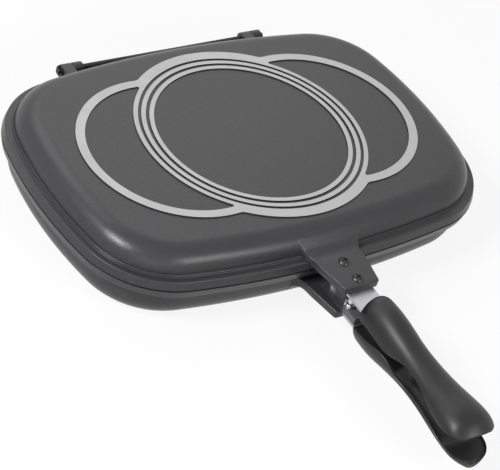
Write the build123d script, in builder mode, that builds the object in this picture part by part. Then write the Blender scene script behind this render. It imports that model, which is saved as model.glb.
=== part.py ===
"""Double sided flip pan: two cast rectangular pans on one hinge rod, each with a steel
strap and a moulded handle, closed on each other over a rubber seal.

Frame: millimetres, +Z up, X along the long side, the handles towards -Y and the hinge
towards +Y. The origin is on the surface that the closed pan stands on, under its centre.
Each half is drawn with its rim on z = 0 and its outside towards +Z; the lower half is the
mirror image, lowered to its place.
"""

import os
from math import hypot, sqrt

from build123d import *

os.makedirs("parts", exist_ok=True)

# Rim outline: four bowed sides joined by four corner arcs
rim_length = 360.0
rim_width = 248.6
corner_radius = 69.5
side_bow = 21.1
end_bow = 23.9

# Outside of each half, measured away from the parting plane
upper_depth = 25.4
lower_depth = 36.4
ridge_height = 1.0
rim_height = 7.3
rim_draft = 1.6
rim_gap = 0.6
collar_inset = 6.7
collar_height = 9.2
body_inset = 8.0
shoulder_radius = 17.4

# Inside of each half
wall = 3.5
base = 4.0

# Heat ridges on the two faces
first_ridge = (75.3, 78.8)
second_ridge = (81.5, 85.0)
third_ridge = (87.5, 96.0)
crescent_start = 91.0
loop_offset = 65.0
loop_outer = 77.6
loop_width = 7.1
crescent_round = 1.4
loop_round = 7.0

# Rim seal
seal_inset = 5.0
seal_width = 3.6
seal_groove_depth = 2.6

# Hinge
hinge_offset = 7.2
knuckle_radius = 5.1
upper_knuckle_width = 9.6
lower_knuckle_width = 8.2
knuckle_gap = 0.8
knuckle_spacing = 169.0
knuckle_root = 12.0
rod_radius = 2.5
rod_clearance = 0.05
rod_end_round = 0.5
clip_radius = 4.5
clip_thickness = 1.0
clip_groove = 0.6
clip_clearance = 0.2
clip_setback = 1.8
hinge_washer_radius = 4.6
hinge_washer_thickness = 0.6

# Tab that carries each strap, cast with its half
tab_reach = 34.4
tab_thickness = 6.6
tab_end_width = 31.0
tab_mid_width = 40.0
tab_root_width = 50.0
tab_flare_start = 24.0
tab_corner_round = 2.0
upper_tab_height = 5.1
lower_tab_height = 11.5
upper_strap_seat = 5.6
lower_strap_seat = 13.7
tab_blend = 9.0
tab_mid_lean = 0.2
tab_root_lean = 0.6
tab_rise_lean = 1.2

# Straps
strap_width = 22.6
strap_thickness = 2.2
strap_clearance = 0.1
strap_root = 4.0
strap_in_handle = 45.0
strap_corner = 1.5

# Screws and nuts
screw_pitch = 18.0
screw_end_distance = 6.8
screw_radius = 2.0
screw_hole_clearance = 0.15
screw_head_radius = 4.3
screw_head_height = 2.7
screw_brim = 0.5
recess_length = 5.2
recess_width = 1.1
recess_depth = 1.3
washer_radius = 4.4
washer_thickness = 0.8
nut_size = 7.0
nut_height = 3.2
nut_projection = 0.9

# Handles: distances run from the near end, heights from the plane between the two handles
handle_start = 51.0
handle_mid_drop = 3.2
handle_wall = 2.6
handle_core = 47.0
handle_spring = 4.0
handle_skirt = 3.0
handle_screw_place = 30.0
handle_screw_radius = 1.8
handle_head_radius = 3.6
handle_head_height = 2.2
handle_screw_length = 9.0
upper_tip_round = 4.5
lower_tip_round = 12.0
slot_clearance = 0.1
counterbore_clearance = 0.4

# Magnetic latch between the straps
latch_place = 36.9
latch_half_spacing = 8.2
stud_radius = 2.6
stud_length = 5.6
latch_gap = 0.3
magnet_radius = 3.0
magnet_depth = 4.4
holder_start = 33.9
holder_length = 15.0
holder_width = 22.6
holder_height = 5.4
holder_screw_place = 44.4
holder_round = 1.0
holder_screw_depth = 4.0
holder_head_height = 1.8
stud_dome = 2.2
magnet_chamfer = 0.4

# Places worked out from the sizes above
half_length = rim_length / 2
half_width = rim_width / 2
part_z = lower_depth + ridge_height
hinge_y = half_width + hinge_offset
tab_end_y = -half_width - tab_reach
handle_y = -half_width - handle_start
latch_y = -half_width - latch_place
holder_y = -half_width - holder_start - holder_length / 2
holder_screw_y = -half_width - holder_screw_place
handle_mid_z = part_z - handle_mid_drop
handle_screw_y = handle_y - handle_screw_place
strap_root_y = -half_width - strap_root
strap_end_y = handle_y - strap_in_handle
screw_ys = (tab_end_y + screw_end_distance, tab_end_y + screw_end_distance + screw_pitch)
knuckle_gap_x = (upper_knuckle_width + knuckle_gap) / 2
lower_knuckle_x = knuckle_gap_x + (lower_knuckle_width + knuckle_gap) / 2
left_clip_x = -knuckle_spacing / 2 - upper_knuckle_width / 2 - clip_clearance - clip_thickness
right_clip_x = knuckle_spacing / 2 + lower_knuckle_x + lower_knuckle_width / 2 + clip_clearance
rod_left_x = left_clip_x - clip_setback
rod_right_x = right_clip_x + clip_thickness + clip_setback
knuckle_pairs = (-knuckle_spacing / 2, knuckle_spacing / 2)


def side_arc_radii():
    """Radii of the long sides and of the ends, from their bows."""
    side = (half_length**2 + side_bow**2) / (2 * side_bow)
    end = (half_width**2 + end_bow**2) / (2 * end_bow)
    return side, end


def corner_centre():
    """Centre of the corner arc that touches one long side and one end."""
    side, end = side_arc_radii()
    side_centre_y = half_width - side
    end_centre_x = half_length - end
    to_side = side - corner_radius
    to_end = end - corner_radius
    span = hypot(end_centre_x, side_centre_y)
    along = (to_side**2 - to_end**2 + span**2) / (2 * span)
    across = sqrt(to_side**2 - along**2)
    ux = end_centre_x / span
    uy = -side_centre_y / span
    return along * ux + across * uy, side_centre_y + along * uy - across * ux


def rim_outline(inset):
    """Sketch of the rim's outline moved inwards: eight arcs, tangent to each other."""
    side, end = side_arc_radii()
    cx, cy = corner_centre()
    side_centre_y = half_width - side
    end_centre_x = half_length - end
    side_scale = (side - inset) / (side - corner_radius)
    end_scale = (end - inset) / (end - corner_radius)
    side_tangent = (cx * side_scale, side_centre_y + (cy - side_centre_y) * side_scale)
    end_tangent = (end_centre_x + (cx - end_centre_x) * end_scale, cy * end_scale)
    mid_x = (side_tangent[0] + end_tangent[0]) / 2 - cx
    mid_y = (side_tangent[1] + end_tangent[1]) / 2 - cy
    reach = (corner_radius - inset) / hypot(mid_x, mid_y)
    corner_middle = (cx + mid_x * reach, cy + mid_y * reach)
    side_middle = half_width - inset
    end_middle = half_length - inset
    with BuildSketch() as outline:
        with BuildLine():
            for sx, sy in ((1, 1), (1, -1), (-1, -1), (-1, 1)):
                ThreePointArc(
                    (sx * side_tangent[0], sy * side_tangent[1]),
                    (sx * corner_middle[0], sy * corner_middle[1]),
                    (sx * end_tangent[0], sy * end_tangent[1]),
                )
            for sy in (1, -1):
                left = (-side_tangent[0], sy * side_tangent[1])
                right = (side_tangent[0], sy * side_tangent[1])
                ThreePointArc(left, (0, sy * side_middle), right)
            for sx in (1, -1):
                back = (sx * end_tangent[0], end_tangent[1])
                front = (sx * end_tangent[0], -end_tangent[1])
                ThreePointArc(back, (sx * end_middle, 0), front)
        make_face()
    return outline.sketch


def ridge_pattern():
    """Sketch of the heat ridges: two plain rings, and a third that opens into two side loops."""
    loop_inner = loop_outer - loop_width
    loops = ((-loop_offset, 0), (loop_offset, 0))
    with BuildSketch() as crescents:
        with Locations(*loops):
            Circle(loop_inner)
        Circle(crescent_start, mode=Mode.SUBTRACT)
        fillet(crescents.vertices(), crescent_round)
    with BuildSketch() as pattern:
        Circle(third_ridge[1])
        with Locations(*loops):
            Circle(loop_outer)
        waist = pattern.vertices().filter_by(lambda v: abs(v.X) > loop_offset / 2)
        fillet(waist, loop_round)
        add(crescents.sketch, mode=Mode.SUBTRACT)
        Circle(third_ridge[0], mode=Mode.SUBTRACT)
        for inner, outer in (second_ridge, first_ridge):
            Circle(outer)
            Circle(inner, mode=Mode.SUBTRACT)
    return pattern.sketch


def tab_plan():
    """Plan of the strap tab: straight sided at its end, flaring into the body."""
    end_x = tab_end_width / 2
    mid_x = tab_mid_width / 2
    root_x = tab_root_width / 2
    mid_y = tab_end_y + tab_flare_start
    root_y = -half_width + body_inset
    inner_y = root_y + tab_blend
    with BuildSketch() as plan:
        with BuildLine():
            Line((-end_x, tab_end_y), (end_x, tab_end_y))
            Line((end_x, tab_end_y), (mid_x, mid_y))
            Spline(
                (mid_x, mid_y),
                (root_x, root_y),
                tangents=((tab_mid_lean, 1), (tab_root_lean, 1)),
            )
            Line((root_x, root_y), (root_x, inner_y))
            Line((root_x, inner_y), (-root_x, inner_y))
            Line((-root_x, inner_y), (-root_x, root_y))
            Spline(
                (-root_x, root_y),
                (-mid_x, mid_y),
                tangents=((tab_root_lean, -1), (tab_mid_lean, -1)),
            )
            Line((-mid_x, mid_y), (-end_x, tab_end_y))
        make_face()
    return plan.sketch


def tab_profile(height, depth):
    """Side view of the strap tab: a flat top that rises into the shoulder of the body."""
    top = height + tab_thickness
    root_y = -half_width + body_inset
    blend_y = root_y - tab_blend
    shoulder_z = min(depth - shoulder_radius / 2, top + tab_blend / 2)
    inner_y = root_y + tab_blend
    with BuildSketch() as profile:
        with BuildLine():
            Line((tab_end_y, height), (tab_end_y, top))
            Line((tab_end_y, top), (blend_y, top))
            Spline((blend_y, top), (root_y, shoulder_z), tangents=((1, 0), (1, tab_rise_lean)))
            Line((root_y, shoulder_z), (inner_y, shoulder_z))
            Line((inner_y, shoulder_z), (inner_y, rim_gap))
            Line((inner_y, rim_gap), (-half_width + rim_draft, rim_gap))
            Line((-half_width + rim_draft, rim_gap), (-half_width - strap_root / 2, height))
            Line((-half_width - strap_root / 2, height), (tab_end_y, height))
        make_face()
    return profile.sketch


def strap_tab(height, depth):
    """Solid tab under which the strap is screwed, with rounded end corners."""
    with BuildPart() as tab:
        with BuildSketch(Plane.YZ):
            add(tab_profile(height, depth))
        extrude(amount=tab_root_width, both=True)
        with BuildSketch():
            add(tab_plan())
        extrude(amount=depth, mode=Mode.INTERSECT)
        fillet(tab.edges().filter_by(Axis.Z).group_by(Axis.Y)[0], tab_corner_round)
    return tab.part


def knuckle_profile():
    """Section of a hinge knuckle: a round eye on the rim's plane with a web to the rim."""
    root_y = half_width - knuckle_root
    with BuildSketch() as profile:
        with Locations((hinge_y, 0)):
            Circle(knuckle_radius)
        with BuildLine():
            Line((root_y, rim_gap / 2), (hinge_y, rim_gap / 2))
            Line((hinge_y, rim_gap / 2), (hinge_y, knuckle_radius))
            Line((hinge_y, knuckle_radius), (root_y, knuckle_radius))
            Line((root_y, knuckle_radius), (root_y, rim_gap / 2))
        make_face()
    return profile.sketch


def cooking_hollow(depth):
    """The space inside one half: straight walls and a floor that is rounded into them."""
    with BuildPart() as hollow:
        with BuildSketch():
            add(rim_outline(body_inset + wall))
        extrude(amount=depth - base)
        fillet(hollow.faces().sort_by(Axis.Z)[-1].edges(), shoulder_radius - wall)
    return hollow.part


def seal_ring(low, high):
    """Ring that follows the rim at the seal's inset, from one height to another."""
    with BuildPart() as ring:
        with BuildSketch(Plane.XY.offset(low)):
            add(rim_outline(seal_inset))
            add(rim_outline(seal_inset + seal_width), mode=Mode.SUBTRACT)
        extrude(amount=high - low)
    return ring.part


def half_shell(depth, tab_height, strap_seat, knuckle_x, knuckle_width, bore_radius):
    """One cast half with its rim on z = 0 and its outside upwards.

    knuckle_x is the place of the half's own knuckle in each pair.
    """
    tab = strap_tab(tab_height, depth)
    hollow = cooking_hollow(depth)
    with BuildPart() as half:
        with BuildSketch(Plane.XY.offset(rim_gap / 2)):
            add(rim_outline(body_inset))
        extrude(amount=depth - rim_gap / 2)
        fillet(half.faces().sort_by(Axis.Z)[-1].edges(), shoulder_radius)
        with BuildSketch(Plane.XY.offset(rim_gap / 2)):
            add(rim_outline(collar_inset))
        extrude(amount=collar_height - rim_gap / 2)
        with BuildSketch(Plane.XY.offset(rim_gap / 2)):
            add(rim_outline(0))
        with BuildSketch(Plane.XY.offset(rim_height)):
            add(rim_outline(rim_draft))
        loft(ruled=True)

        add(tab)
        for pair in knuckle_pairs:
            start = pair + knuckle_x - knuckle_width / 2
            with BuildSketch(Plane.YZ.offset(start)):
                add(knuckle_profile())
            extrude(amount=knuckle_width)
            with BuildSketch(Plane.YZ.offset(start)):
                with Locations((hinge_y, 0)):
                    Circle(bore_radius)
            extrude(amount=knuckle_width, mode=Mode.SUBTRACT)

        add(hollow, mode=Mode.SUBTRACT)
        with BuildSketch(Plane.XY.offset(strap_seat)):
            with Locations((0, (tab_end_y + strap_root_y) / 2)):
                Rectangle(strap_width + 2 * strap_clearance, strap_root_y - tab_end_y)
        extrude(amount=tab_height - strap_seat, mode=Mode.SUBTRACT)
        with Locations(*[(0, y, strap_seat) for y in screw_ys]):
            Cylinder(
                screw_radius + screw_hole_clearance,
                tab_thickness,
                align=(Align.CENTER, Align.CENTER, Align.MIN),
                mode=Mode.SUBTRACT,
            )
    return half.part


def face_ridges(depth):
    """The bare metal ridges that stand on the flat face of one half."""
    with BuildPart() as ridges:
        with BuildSketch(Plane.XY.offset(depth)):
            add(ridge_pattern())
        extrude(amount=ridge_height)
    return ridges.part


def strap_bar(seat, hole_ys):
    """Flat steel strap under its tab, with a hole at each of the given places along Y."""
    length = strap_root_y - strap_end_y
    with BuildPart() as bar:
        with BuildSketch(Plane.XY.offset(seat)):
            with Locations((0, (strap_root_y + strap_end_y) / 2)):
                RectangleRounded(strap_width, length, strap_corner)
            with Locations(*[(0, y) for y in hole_ys]):
                Circle(screw_radius + screw_hole_clearance, mode=Mode.SUBTRACT)
        extrude(amount=-strap_thickness)
    return bar.part


def cross_head_screws(places, seat, length):
    """Domed screws with a cross recess, heads on the seat height, shanks pointing down."""
    with BuildPart() as screws:
        for x, y in places:
            with BuildSketch(Plane.XZ.offset(-y)) as section:
                crown = (x, seat + screw_head_height)
                brim = (x + screw_head_radius, seat + screw_brim)
                with BuildLine():
                    Line((x, seat), (x + screw_head_radius, seat))
                    Line((x + screw_head_radius, seat), brim)
                    TangentArc(crown, brim, tangent=(1, 0))
                    Line(crown, (x, seat))
                make_face()
            revolve(axis=Axis((x, y, 0), (0, 0, 1)))
            with BuildSketch(Plane.XY.offset(seat)):
                with Locations((x, y)):
                    Circle(screw_radius)
            extrude(amount=-length)
            with BuildSketch(Plane.XY.offset(seat + screw_head_height)):
                with Locations((x, y)):
                    Rectangle(recess_length, recess_width)
                    Rectangle(recess_width, recess_length)
            extrude(amount=-recess_depth, mode=Mode.SUBTRACT)
    return screws.part


def strap_screws(tab_height, strap_seat):
    """The two screws that hold a strap to its tab."""
    head_seat = tab_height + tab_thickness
    strap_face = strap_seat - strap_thickness
    length = head_seat - strap_face + washer_thickness + nut_height + nut_projection
    return cross_head_screws([(0, y) for y in screw_ys], head_seat, length)


def strap_washers(strap_seat):
    """Plain washers under the nuts."""
    with BuildPart() as washers:
        with BuildSketch(Plane.XY.offset(strap_seat - strap_thickness)):
            with Locations(*[(0, y) for y in screw_ys]):
                Circle(washer_radius)
                Circle(screw_radius, mode=Mode.SUBTRACT)
        extrude(amount=-washer_thickness)
    return washers.part


def strap_nuts(strap_seat):
    """Hexagon nuts on the washers."""
    with BuildPart() as nuts:
        with BuildSketch(Plane.XY.offset(strap_seat - strap_thickness - washer_thickness)):
            with Locations(*[(0, y) for y in screw_ys]):
                RegularPolygon(nut_size / 2, 6, major_radius=False)
                Circle(screw_radius, mode=Mode.SUBTRACT)
        extrude(amount=-nut_height)
    return nuts.part


def handle_section(distance, half_breadth, crown):
    """Section of a handle: upright sides under half an ellipse."""
    plane = Plane.XZ.offset(-handle_y + distance)
    with BuildSketch(plane) as section:
        with BuildLine():
            Line((-half_breadth, -handle_skirt), (-half_breadth, handle_spring))
            EllipticalCenterArc(
                (0, handle_spring), half_breadth, crown - handle_spring, 0, arc_size=180
            )
            Line((half_breadth, handle_spring), (half_breadth, -handle_skirt))
            Line((half_breadth, -handle_skirt), (-half_breadth, -handle_skirt))
        make_face()
    return section.sketch


def handle_hollow(stations):
    """The trough inside a handle, one wall within its outside, beyond its solid core."""
    inner = [
        handle_section(distance, half_breadth - handle_wall, crown - handle_wall)
        for distance, half_breadth, crown in stations
        if distance >= handle_core
    ]
    with BuildPart() as hollow:
        loft(inner)
    return hollow.part


def handle_shell(stations, edge, tip_round, strap_seat):
    """Moulded handle: a trough with waved lower edges, and a core that holds its strap."""
    tip_y = handle_y - stations[-1][0]
    breadth = max(half_breadth for _, half_breadth, _ in stations)
    tall = max(crown for _, _, crown in stations)
    strap_face = strap_seat - strap_thickness
    head_face = strap_face - handle_head_height - counterbore_clearance
    edge_line = [(handle_y - distance, height) for distance, height in edge]
    deep = -2 * handle_skirt
    hollow = handle_hollow(stations)
    sections = [handle_section(*station) for station in stations]
    with BuildPart() as shell:
        loft(sections)
        add(hollow, mode=Mode.SUBTRACT)
        with BuildSketch(Plane.YZ):
            with BuildLine():
                Spline(*edge_line)
                Line(edge_line[-1], (edge_line[-1][0], deep))
                Line((edge_line[-1][0], deep), (edge_line[0][0], deep))
                Line((edge_line[0][0], deep), edge_line[0])
            make_face()
        extrude(amount=breadth, both=True, mode=Mode.SUBTRACT)
        with BuildSketch(Plane.XY.offset(deep)):
            with BuildLine():
                Line((-breadth, handle_y), (breadth, handle_y))
                Line((breadth, handle_y), (breadth, tip_y + tip_round))
                ThreePointArc(
                    (breadth, tip_y + tip_round), (0, tip_y), (-breadth, tip_y + tip_round)
                )
                Line((-breadth, tip_y + tip_round), (-breadth, handle_y))
            make_face()
        extrude(amount=tall - deep, mode=Mode.INTERSECT)
        with BuildSketch(Plane.XY.offset(strap_seat + slot_clearance)):
            with Locations((0, (handle_y + strap_end_y) / 2)):
                Rectangle(
                    strap_width + 2 * slot_clearance,
                    handle_y - strap_end_y + 2 * slot_clearance,
                )
        extrude(amount=-strap_thickness - 2 * slot_clearance, mode=Mode.SUBTRACT)
        with BuildSketch(Plane.XY.offset(deep)):
            with Locations((0, handle_screw_y)):
                Circle(handle_head_radius + counterbore_clearance)
        extrude(amount=strap_face - deep, mode=Mode.SUBTRACT)
        with BuildSketch(Plane.XY.offset(strap_face)):
            with Locations((0, handle_screw_y)):
                Circle(handle_screw_radius)
        extrude(amount=handle_screw_length, mode=Mode.SUBTRACT)
    return shell.part


def handle_screw(strap_seat):
    """Pan head screw up through the strap into the core of a handle."""
    strap_face = strap_seat - strap_thickness
    with BuildPart() as screw:
        with BuildSketch(Plane.XY.offset(strap_face)):
            with Locations((0, handle_screw_y)):
                Circle(handle_head_radius)
        extrude(amount=-handle_head_height)
        with BuildSketch(Plane.XY.offset(strap_face)):
            with Locations((0, handle_screw_y)):
                Circle(handle_screw_radius)
        extrude(amount=handle_screw_length)
        with BuildSketch(Plane.XY.offset(strap_face - handle_head_height)):
            with Locations((0, handle_screw_y)):
                Rectangle(handle_head_radius, recess_width)
                Rectangle(recess_width, handle_head_radius)
        extrude(amount=recess_depth, mode=Mode.SUBTRACT)
    return screw.part


def to_upper(shape):
    """Places a shape drawn for a half on the upper side."""
    return shape.moved(Location((0, 0, part_z)))


def to_lower(shape):
    """Places a shape drawn for a half, turned over, on the lower side."""
    return shape.mirror(Plane.XY).moved(Location((0, 0, part_z)))


# Outside of the handles: distance from the near end, half breadth, height of the crown
upper_handle_stations = (
    (0.0, 10.4, 17.6),
    (2.5, 12.9, 20.7),
    (8.0, 14.0, 22.4),
    (18.0, 14.2, 22.6),
    (32.0, 13.9, 21.0),
    (47.0, 13.0, 18.4),
    (68.0, 13.6, 16.4),
    (85.0, 15.4, 16.2),
    (102.0, 18.0, 17.2),
    (116.0, 19.4, 17.8),
    (124.0, 19.2, 15.2),
    (130.5, 17.6, 9.8),
)
lower_handle_stations = (
    (0.0, 12.0, 16.8),
    (2.5, 14.7, 19.9),
    (8.0, 16.0, 21.6),
    (18.0, 16.2, 21.8),
    (32.0, 15.3, 20.0),
    (47.0, 14.0, 17.8),
    (68.0, 14.0, 16.0),
    (85.0, 15.6, 16.2),
    (102.0, 17.8, 17.4),
    (120.0, 18.8, 19.0),
    (135.0, 17.6, 19.6),
)
# Lower edges of the handles: distance from the near end, height above the plane between them
upper_handle_edge = (
    (-3.0, 2.2),
    (18.0, 3.0),
    (38.0, 1.4),
    (54.0, 6.6),
    (70.0, 7.6),
    (93.0, 3.8),
    (110.0, 2.9),
    (126.0, 6.2),
    (136.0, 9.6),
)
lower_handle_edge = (
    (-3.0, 5.0),
    (18.0, 3.8),
    (40.0, 1.4),
    (52.0, 6.2),
    (66.0, 8.0),
    (98.0, 6.2),
    (116.0, 9.4),
    (128.0, 13.6),
    (140.0, 20.0),
)

upper_shell = half_shell(
    upper_depth,
    upper_tab_height,
    upper_strap_seat,
    0,
    upper_knuckle_width,
    rod_radius + rod_clearance,
)
lower_shell = half_shell(
    lower_depth,
    lower_tab_height,
    lower_strap_seat,
    lower_knuckle_x,
    lower_knuckle_width,
    rod_radius,
)
groove = seal_ring(0, rim_gap / 2 + seal_groove_depth)

with BuildPart() as upper_pan:
    add(to_upper(upper_shell))
    add(to_upper(groove), mode=Mode.SUBTRACT)
upper_pan.part.label = "upper_pan"
export_step(upper_pan.part, "parts/upper_pan.step")

with BuildPart() as lower_pan:
    add(to_lower(lower_shell))
lower_pan.part.label = "lower_pan"
export_step(lower_pan.part, "parts/lower_pan.step")

with BuildPart() as upper_ridges:
    add(to_upper(face_ridges(upper_depth)))
upper_ridges.part.label = "upper_ridges"
export_step(upper_ridges.part, "parts/upper_ridges.step")

with BuildPart() as lower_ridges:
    add(to_lower(face_ridges(lower_depth)))
lower_ridges.part.label = "lower_ridges"
export_step(lower_ridges.part, "parts/lower_ridges.step")

with BuildPart() as rim_seal:
    add(to_upper(groove))
rim_seal.part.label = "rim_seal"
export_step(rim_seal.part, "parts/rim_seal.step")

# Hinge rod, its end clips, and the washers between the knuckles
with BuildPart() as hinge_rod:
    with BuildSketch(Plane.YZ.offset(rod_left_x)):
        with Locations((hinge_y, part_z)):
            Circle(rod_radius)
    extrude(amount=rod_right_x - rod_left_x)
    chamfer(hinge_rod.edges().group_by(Axis.X)[0], rod_end_round)
    chamfer(hinge_rod.edges().group_by(Axis.X)[-1], rod_end_round)
    for start in (left_clip_x, right_clip_x):
        with BuildSketch(Plane.YZ.offset(start)):
            with Locations((hinge_y, part_z)):
                Circle(rod_radius)
                Circle(rod_radius - clip_groove, mode=Mode.SUBTRACT)
        extrude(amount=clip_thickness, mode=Mode.SUBTRACT)
hinge_rod.part.label = "hinge_rod"
export_step(hinge_rod.part, "parts/hinge_rod.step")

with BuildPart() as hinge_clips:
    for start in (left_clip_x, right_clip_x):
        with BuildSketch(Plane.YZ.offset(start)):
            with Locations((hinge_y, part_z)):
                Circle(clip_radius)
                Circle(rod_radius - clip_groove, mode=Mode.SUBTRACT)
            with Locations((hinge_y, part_z + clip_radius)):
                Rectangle(2 * (rod_radius - clip_groove), 2 * clip_radius, mode=Mode.SUBTRACT)
        extrude(amount=clip_thickness)
hinge_clips.part.label = "hinge_clips"
export_step(hinge_clips.part, "parts/hinge_clips.step")

with BuildPart() as hinge_washers:
    for pair in knuckle_pairs:
        with BuildSketch(Plane.YZ.offset(pair + knuckle_gap_x - hinge_washer_thickness / 2)):
            with Locations((hinge_y, part_z)):
                Circle(hinge_washer_radius)
                Circle(rod_radius + rod_clearance, mode=Mode.SUBTRACT)
        extrude(amount=hinge_washer_thickness)
hinge_washers.part.label = "hinge_washers"
export_step(hinge_washers.part, "parts/hinge_washers.step")

# Straps and their fasteners
with BuildPart() as upper_strap:
    add(to_upper(strap_bar(upper_strap_seat, (*screw_ys, handle_screw_y))))
upper_strap.part.label = "upper_strap"
export_step(upper_strap.part, "parts/upper_strap.step")

with BuildPart() as lower_strap:
    add(to_lower(strap_bar(lower_strap_seat, (*screw_ys, holder_screw_y, handle_screw_y))))
lower_strap.part.label = "lower_strap"
export_step(lower_strap.part, "parts/lower_strap.step")

with BuildPart() as upper_strap_screws:
    add(to_upper(strap_screws(upper_tab_height, upper_strap_seat)))
upper_strap_screws.part.label = "upper_strap_screws"
export_step(upper_strap_screws.part, "parts/upper_strap_screws.step")

with BuildPart() as lower_strap_screws:
    add(to_lower(strap_screws(lower_tab_height, lower_strap_seat)))
lower_strap_screws.part.label = "lower_strap_screws"
export_step(lower_strap_screws.part, "parts/lower_strap_screws.step")

with BuildPart() as upper_strap_washers:
    add(to_upper(strap_washers(upper_strap_seat)))
upper_strap_washers.part.label = "upper_strap_washers"
export_step(upper_strap_washers.part, "parts/upper_strap_washers.step")

with BuildPart() as lower_strap_washers:
    add(to_lower(strap_washers(lower_strap_seat)))
lower_strap_washers.part.label = "lower_strap_washers"
export_step(lower_strap_washers.part, "parts/lower_strap_washers.step")

with BuildPart() as upper_strap_nuts:
    add(to_upper(strap_nuts(upper_strap_seat)))
upper_strap_nuts.part.label = "upper_strap_nuts"
export_step(upper_strap_nuts.part, "parts/upper_strap_nuts.step")

with BuildPart() as lower_strap_nuts:
    add(to_lower(strap_nuts(lower_strap_seat)))
lower_strap_nuts.part.label = "lower_strap_nuts"
export_step(lower_strap_nuts.part, "parts/lower_strap_nuts.step")

# Handles and their screws; the plane between the handles lies below the rim's plane
upper_seat_in_handle = upper_strap_seat + handle_mid_drop
lower_seat_in_handle = lower_strap_seat - handle_mid_drop
above_mid = Location((0, 0, handle_mid_z))

with BuildPart() as upper_handle:
    add(
        handle_shell(
            upper_handle_stations, upper_handle_edge, upper_tip_round, upper_seat_in_handle
        ).moved(above_mid)
    )
upper_handle.part.label = "upper_handle"
export_step(upper_handle.part, "parts/upper_handle.step")

with BuildPart() as lower_handle:
    add(
        handle_shell(
            lower_handle_stations, lower_handle_edge, lower_tip_round, lower_seat_in_handle
        ).mirror(Plane.XY).moved(above_mid)
    )
lower_handle.part.label = "lower_handle"
export_step(lower_handle.part, "parts/lower_handle.step")

with BuildPart() as upper_handle_screw:
    add(handle_screw(upper_seat_in_handle).moved(above_mid))
upper_handle_screw.part.label = "upper_handle_screw"
export_step(upper_handle_screw.part, "parts/upper_handle_screw.step")

with BuildPart() as lower_handle_screw:
    add(handle_screw(lower_seat_in_handle).mirror(Plane.XY).moved(above_mid))
lower_handle_screw.part.label = "lower_handle_screw"
export_step(lower_handle_screw.part, "parts/lower_handle_screw.step")

# Magnetic latch: domed steel studs under the upper strap, magnets in a holder on the lower one
stud_top = part_z + upper_strap_seat - strap_thickness
stud_bottom = stud_top - stud_length
magnet_top = stud_bottom - latch_gap
holder_bottom = part_z - lower_strap_seat + strap_thickness
holder_top = holder_bottom + holder_height
latch_places = [(-latch_half_spacing, latch_y), (latch_half_spacing, latch_y)]

with BuildPart() as latch_studs:
    with BuildSketch(Plane.XY.offset(stud_top)):
        with Locations(*latch_places):
            Circle(stud_radius)
    extrude(amount=-stud_length)
    fillet(latch_studs.edges().group_by(Axis.Z)[0], stud_dome)
latch_studs.part.label = "latch_studs"
export_step(latch_studs.part, "parts/latch_studs.step")

with BuildPart() as latch_magnets:
    with BuildSketch(Plane.XY.offset(magnet_top)):
        with Locations(*latch_places):
            Circle(magnet_radius)
    extrude(amount=holder_top - magnet_depth - magnet_top)
    chamfer(latch_magnets.edges().group_by(Axis.Z)[-1], magnet_chamfer)
latch_magnets.part.label = "latch_magnets"
export_step(latch_magnets.part, "parts/latch_magnets.step")

with BuildPart() as magnet_holder:
    with BuildSketch(Plane.XY.offset(holder_bottom)):
        with Locations((0, holder_y)):
            RectangleRounded(holder_width, holder_length, holder_round)
    extrude(amount=holder_height)
    with BuildSketch(Plane.XY.offset(holder_top - magnet_depth)):
        with Locations(*latch_places):
            Circle(magnet_radius)
    extrude(amount=magnet_depth, mode=Mode.SUBTRACT)
    with BuildSketch(Plane.XY.offset(holder_bottom)):
        with Locations((0, holder_screw_y)):
            Circle(screw_radius)
    extrude(amount=holder_screw_depth, mode=Mode.SUBTRACT)
magnet_holder.part.label = "magnet_holder"
export_step(magnet_holder.part, "parts/magnet_holder.step")

with BuildPart() as magnet_holder_screw:
    with BuildSketch(Plane.XY.offset(holder_bottom - strap_thickness)):
        with Locations((0, holder_screw_y)):
            Circle(handle_head_radius)
    extrude(amount=-holder_head_height)
    with BuildSketch(Plane.XY.offset(holder_bottom - strap_thickness)):
        with Locations((0, holder_screw_y)):
            Circle(screw_radius)
    extrude(amount=strap_thickness + holder_screw_depth)
magnet_holder_screw.part.label = "magnet_holder_screw"
export_step(magnet_holder_screw.part, "parts/magnet_holder_screw.step")
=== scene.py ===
"""Looks of the double sided flip pan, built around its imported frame.

Two coated castings closed on each other, bare turned ridges, a rod hinge at the back, a
steel strap and a moulded handle on each half. Sizes are in metres. A half is worked out
with its rim on height 0 and its outside upwards, then placed by its Side.
"""

import logging
from dataclasses import dataclass, field
from enum import Enum
from math import atan2, cos, hypot, pi, radians, sin, sqrt

import bpy
import numpy as np
from mathutils import Matrix, Vector
from numpy.typing import NDArray


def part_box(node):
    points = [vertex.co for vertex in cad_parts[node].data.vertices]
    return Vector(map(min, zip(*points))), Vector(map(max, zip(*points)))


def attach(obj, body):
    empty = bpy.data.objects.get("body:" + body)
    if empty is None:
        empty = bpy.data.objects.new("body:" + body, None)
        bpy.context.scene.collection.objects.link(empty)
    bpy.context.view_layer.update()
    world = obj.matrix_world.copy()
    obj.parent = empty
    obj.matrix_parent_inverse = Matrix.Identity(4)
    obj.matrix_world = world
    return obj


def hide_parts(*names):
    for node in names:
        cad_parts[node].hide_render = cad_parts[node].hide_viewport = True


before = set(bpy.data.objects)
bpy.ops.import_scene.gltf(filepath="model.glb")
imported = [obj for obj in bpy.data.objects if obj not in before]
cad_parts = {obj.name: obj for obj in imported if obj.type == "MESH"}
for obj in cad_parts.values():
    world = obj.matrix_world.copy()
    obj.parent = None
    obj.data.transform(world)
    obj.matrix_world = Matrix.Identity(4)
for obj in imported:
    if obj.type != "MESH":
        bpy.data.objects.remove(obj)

Array = NDArray[np.float64]

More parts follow.
